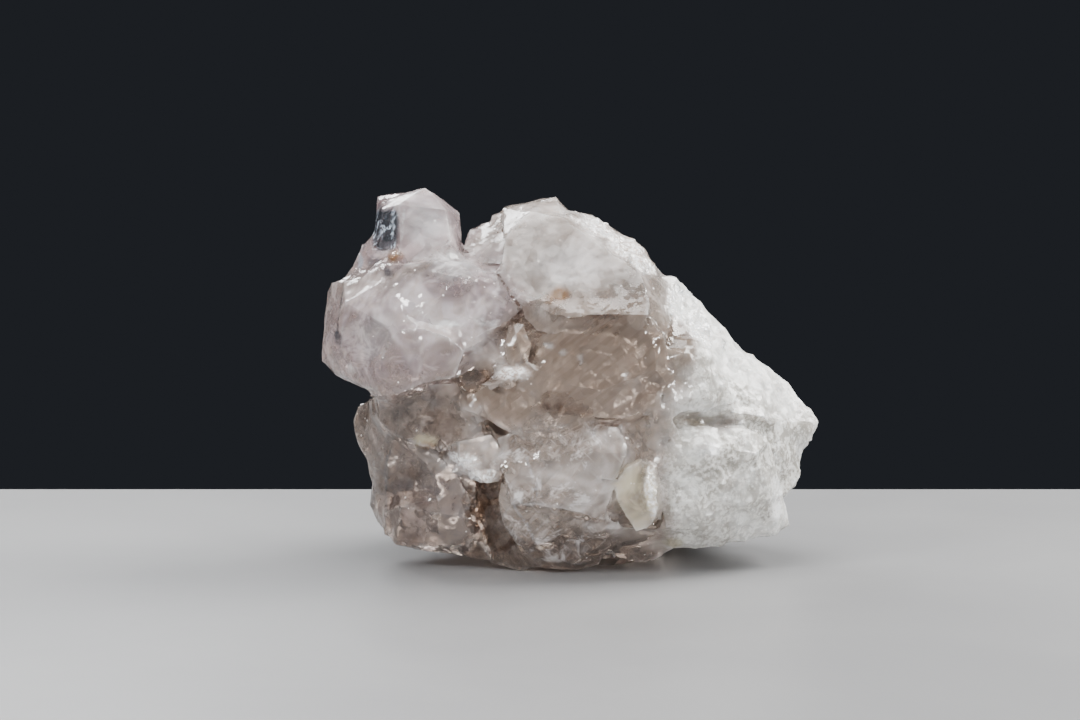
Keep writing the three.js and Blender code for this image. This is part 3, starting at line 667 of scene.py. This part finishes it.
def quartz_material():
    g = Graph("smoky_quartz")
    milky, flaky, smoky, brown, dim, veiled, lilac, frosted, crevice, ridge, window = map(
        g.attribute,
        "milky flaky smoky brown dim veiled lilac frosted crevice ridge window".split(),
    )
    not_milky = g.math("SUBTRACT", 1.0, milky)
    calm = g.math("SUBTRACT", 1.0, g.times(frosted, 0.75))

    clouds = g.span(g.noise(13, 3, 0.66, 0.7), 0.42, 0.66)
    puffs = g.span(g.noise(5, 4, 0.7, 0.5), 0.48, 0.66)
    mottle = g.noise(3.2, 5, 0.7, 0.8)
    grain = g.noise(0.7, 2, 0.6)
    streaks = streaks_in(g, mottle)
    striae = g.span(g.noise(0.8, 1, 0.5, 0.0, g.stretched(1, 0.08, 0.08, (0, 52, 0))), 0.45, 0.62)
    # painted glints: small white specks
    painted_glints = g.times(g.span(g.cells(2.2), 0.05, 0.12, 1.0, 0.0), g.span(mottle, 0.5, 0.56))

    body = g.mix(lilac, GREY, LILAC)
    # painted shade: darker in the low parts, the lower left and under the root's ledge
    body = g.mix(g.times(dim, 0.85), body, PAINTED_SHADE_TONE)
    body = g.mix(g.times(smoky, g.span(mottle, 0.35, 0.65, 0.85, 1.0)), body, SMOKE)
    # brown, partly painted shade in the recessed heart
    body = g.mix(g.times(brown, g.span(mottle, 0.35, 0.65, 0.95, 0.6)), body, srgb(*BROWN))
    hush = g.math("SUBTRACT", 1.0, g.highest(smoky, g.times(dim, 0.7), brown), True)
    pale = g.times(g.highest(clouds, g.times(puffs, 0.6)), hush)
    body = g.mix(g.times(pale, 0.5), body, srgb(*CLOUD))
    shade = g.span(mottle, 0.4, 0.62, 0.0, 0.4)
    body = g.mix(g.times(shade, not_milky, calm), body, SMOKE)
    body = g.mix(g.times(smoky, striae, 0.2), body, srgb(*BROWN))
    deep = g.highest(brown, smoky, 0.3)
    body = g.mix(g.times(crevice, not_milky, deep, 0.6), body, srgb(*BROWN))
    veil = g.times(veiled, g.highest(g.times(puffs, 0.75), g.times(streaks, 0.28)))
    veil = g.highest(veil, g.times(streaks, hush, calm, not_milky, 0.06))
    veil = g.times(veil, g.math("SUBTRACT", 1.0, g.times(brown, 0.8)))
    body = g.mix(veil, body, srgb(*CLOUD))
    sugar = g.span(g.math("ADD", g.times(mottle, 0.6), g.times(grain, 0.4)), 0.42, 0.58)
    root = g.mix(g.highest(g.times(sugar, 0.7), clouds, g.times(frosted, 0.8)), PEARL, MILK)
    body = g.mix(milky, body, root)
    body = with_stains_and_painted_light(g, body, mottle)
    body = cracked_and_highlighted(g, body, grain)
    # painted highlights: the glints and the folded ridges turn white, less so on the smoky crystal
    highlight_share = g.math("SUBTRACT", 1.0, g.times(smoky, 0.8))
    painted_glints = g.times(painted_glints, highlight_share)
    body = g.mix(g.times(painted_glints, 0.8), body, srgb(*FROST))
    # painted highlight along the outward folds
    body = g.mix(g.times(ridge, g.span(mottle, 0.4, 0.6), highlight_share, 0.5), body, srgb(*FROST))
    # white flakes, on the shard's edge partly a painted highlight
    body = g.mix(g.times(flaky, g.span(grain, 0.4, 0.6)), body, srgb(*FROST))
    mist = g.times(g.span(mottle, 0.5, 0.6), 0.85)
    body = g.mix(window, body, g.mix(mist, srgb(*SLATE), srgb(*BLUE_WHITE)))

    shader = g.node("ShaderNodeBsdfPrincipled")
    g.feed(shader.inputs["Base Color"], body)
    thin = g.times(milky, g.span(sugar, 0.0, 1.0, 0.5, 0.85))
    opaque = g.highest(thin, g.times(flaky, 0.8), g.times(veil, 0.85), g.times(pale, 0.45), painted_glints)
    opaque = g.highest(opaque, g.times(window, mist))
    see = g.times(g.math("SUBTRACT", 1.0, opaque, True), CLEAREST)
    g.feed(shader.inputs["Transmission Weight"], see)
    shader.inputs["IOR"].default_value = QUARTZ_IOR
    rough = g.blend(milky, g.span(mottle, 0.35, 0.65, 0.03, 0.2), 0.26)
    glossy = g.math("SUBTRACT", 1.0, flaky)
    rough = g.blend(g.times(frosted, glossy, 0.8), rough, 0.42)
    rough = g.blend(flaky, rough, 0.1)
    g.feed(shader.inputs["Roughness"], rough)
    g.feed(shader.inputs["Subsurface Weight"], g.blend(g.highest(milky, frosted, smoky), 0.3, 0.65))
    shader.inputs["Subsurface Radius"].default_value = (1.0, 0.92, 0.86)
    shader.inputs["Subsurface Scale"].default_value = 0.003

    coarse = g.highest(g.times(milky, 0.8), g.times(veiled, 0.5), flaky, 0.06)
    relief = g.times(g.math("ADD", g.times(mottle, 0.5), g.times(grain, 0.3)), coarse)
    bump = g.node("ShaderNodeBump")
    bump.inputs["Strength"].default_value = 0.3
    bump.inputs["Distance"].default_value = 0.0005
    g.feed(bump.inputs["Height"], relief)
    g.feed(bump.inputs["Normal"], leaning_normal(g, flaky, milky))
    g.feed(shader.inputs["Normal"], bump.outputs[0])

    tint = g.node("ShaderNodeVolumeAbsorption")
    tint.inputs["Color"].default_value = (0.85, 0.78, 0.72, 1)
    tint.inputs["Density"].default_value = 20
    return g.finish(shader.outputs[0], tint.outputs[0])


def floor_material():
    g = Graph("pale_floor")
    shader = g.node("ShaderNodeBsdfPrincipled")
    tone = g.noise(60, 4, 0.6, 0.5)
    g.feed(shader.inputs["Base Color"], g.mix(tone, srgb(112, 112, 114), srgb(130, 130, 130)))
    shader.inputs["Roughness"].default_value = 0.45
    return g.finish(shader.outputs[0])


# ---------------------------------------------------------------- stage

FLOOR = {"left": -0.5, "right": 0.5, "front": -0.42, "back": 0.078}


def make_floor():
    x0, x1, y0, y1 = FLOOR.values()
    mesh = bpy.data.meshes.new("floor")
    mesh.from_pydata([(x0, y0, 0), (x1, y0, 0), (x1, y1, 0), (x0, y1, 0)], [], [(0, 1, 2, 3)])
    mesh.materials.append(floor_material())
    floor = bpy.data.objects.new("floor", mesh)
    bpy.context.scene.collection.objects.link(floor)
    return floor


def area_light(name, place, size, watts, colour=(1, 1, 1), aim=(0, 0, 0.035), mirrored=True):
    data = bpy.data.lights.new(name, "AREA")
    data.shape = "RECTANGLE"
    data.size, data.size_y = size
    data.energy = watts
    data.color = colour
    lamp = bpy.data.objects.new(name, data)
    lamp.location = place
    lamp.visible_glossy = mirrored
    lamp.rotation_euler = (Vector(aim) - Vector(place)).to_track_quat("-Z", "Y").to_euler()
    bpy.context.scene.collection.objects.link(lamp)


def make_lights():
    area_light("key", (0.38, 0.12, 0.40), (0.34, 0.34), 9.0, (1.0, 0.99, 0.97))
    area_light("fill", (-0.24, -0.48, 0.52), (0.9, 0.7), 5.0, (0.97, 0.98, 1.0), mirrored=False)
    area_light("top", (-0.05, -0.02, 0.6), (0.35, 0.35), 3.5)
    area_light("glint_left", (-0.42, -0.34, 0.30), (0.1, 0.1), 2.6)
    area_light("glint_right", (0.40, -0.40, 0.22), (0.1, 0.1), 2.2)
    area_light("back", (-0.22, 0.36, 0.36), (0.3, 0.2), 3.0, (0.96, 0.98, 1.0))
    world = bpy.data.worlds.new("studio")
    world.use_nodes = True
    back = world.node_tree.nodes["Background"]
    back.inputs["Color"].default_value = (0.016, 0.018, 0.022, 1)
    back.inputs["Strength"].default_value = 1.0
    bpy.context.scene.world = world


CAMERA_PLACE = (-0.00576, -0.46775, 0.0855)
CAMERA_PITCH = math.radians(6)


def make_camera():
    data = bpy.data.cameras.new("camera")
    data.lens = 85
    data.sensor_width = 36
    data.clip_start = 0.01
    camera = bpy.data.objects.new("camera", data)
    camera.location = CAMERA_PLACE
    camera.rotation_euler = (math.pi / 2 - CAMERA_PITCH, 0, 0)
    bpy.context.scene.collection.objects.link(camera)
    bpy.context.scene.camera = camera


quartz = make_quartz()
quartz.data.materials.append(quartz_material())
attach(quartz, "root")
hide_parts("quartz")

floor = make_floor()
make_lights()
make_camera()
